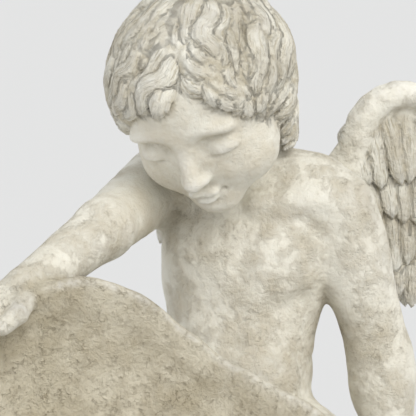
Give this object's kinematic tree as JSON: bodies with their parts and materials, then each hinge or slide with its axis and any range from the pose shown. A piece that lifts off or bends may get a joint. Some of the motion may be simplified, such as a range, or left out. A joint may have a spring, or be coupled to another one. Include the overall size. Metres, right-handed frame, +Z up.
{
  "type": "garden statue",
  "caption": "Seated winged child in pale cast stone, head bowed, reaching over the rim of a large fluted clam shell that stands tilted in front of it.",
  "frame": {"origin": "middle of the plinth's underside, where the statue rests", "axes": "+Z up, -Y towards the front, from where the figure's bowed face and the mouth of the shell are seen, +X to the viewer's right"},
  "size_m": [0.4208, 0.5163, 0.5056],
  "materials": {
    "cast_stone": "matt, pitted, with ochre staining in the recesses"
  },
  "bodies": {
    "root": {"cherub_with_shell": "cast_stone"}
  },
  "joints": []
}
